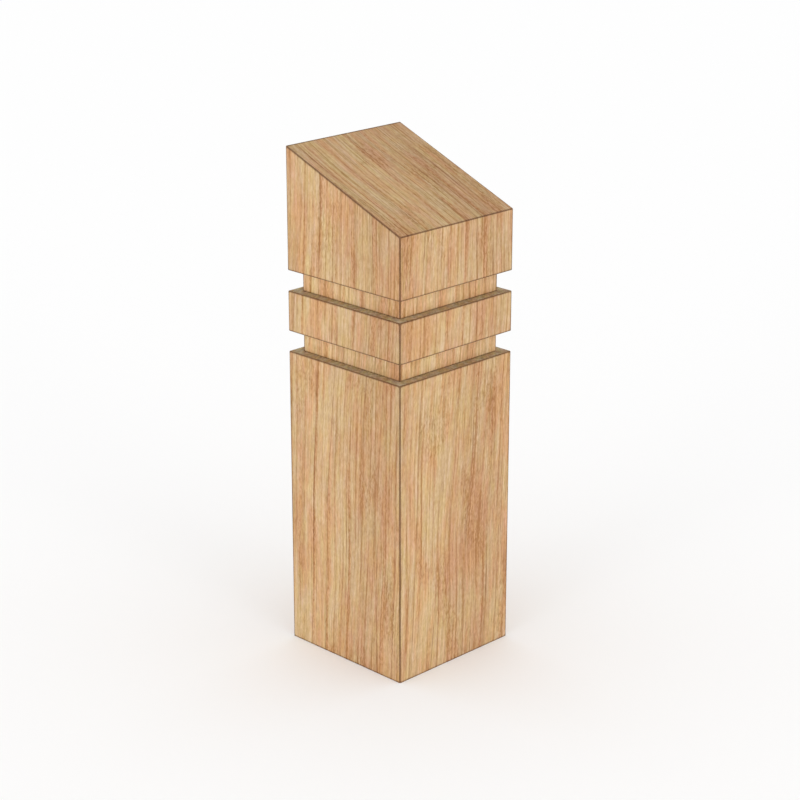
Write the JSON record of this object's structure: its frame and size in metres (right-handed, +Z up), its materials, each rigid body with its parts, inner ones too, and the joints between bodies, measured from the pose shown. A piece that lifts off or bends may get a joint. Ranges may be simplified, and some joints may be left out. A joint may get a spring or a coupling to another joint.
{
  "type": "oak bollard",
  "caption": "Square oak bollard with a single-slope top and square rebates cut round it below the head, to mark a path edge or keep vehicles off. Flat foot.",
  "frame": {"origin": "centre of the foot, on the ground", "axes": "+Z up along the timber; the sloping top falls towards -Y, so the high face looks along +Y and the low face along -Y; the part is a mirror image of itself across the YZ plane"},
  "size_m": [0.15, 0.15, 0.4998],
  "materials": {
    "oak": "matte"
  },
  "bodies": {
    "root": {"bollard_post": "oak"}
  },
  "joints": []
}
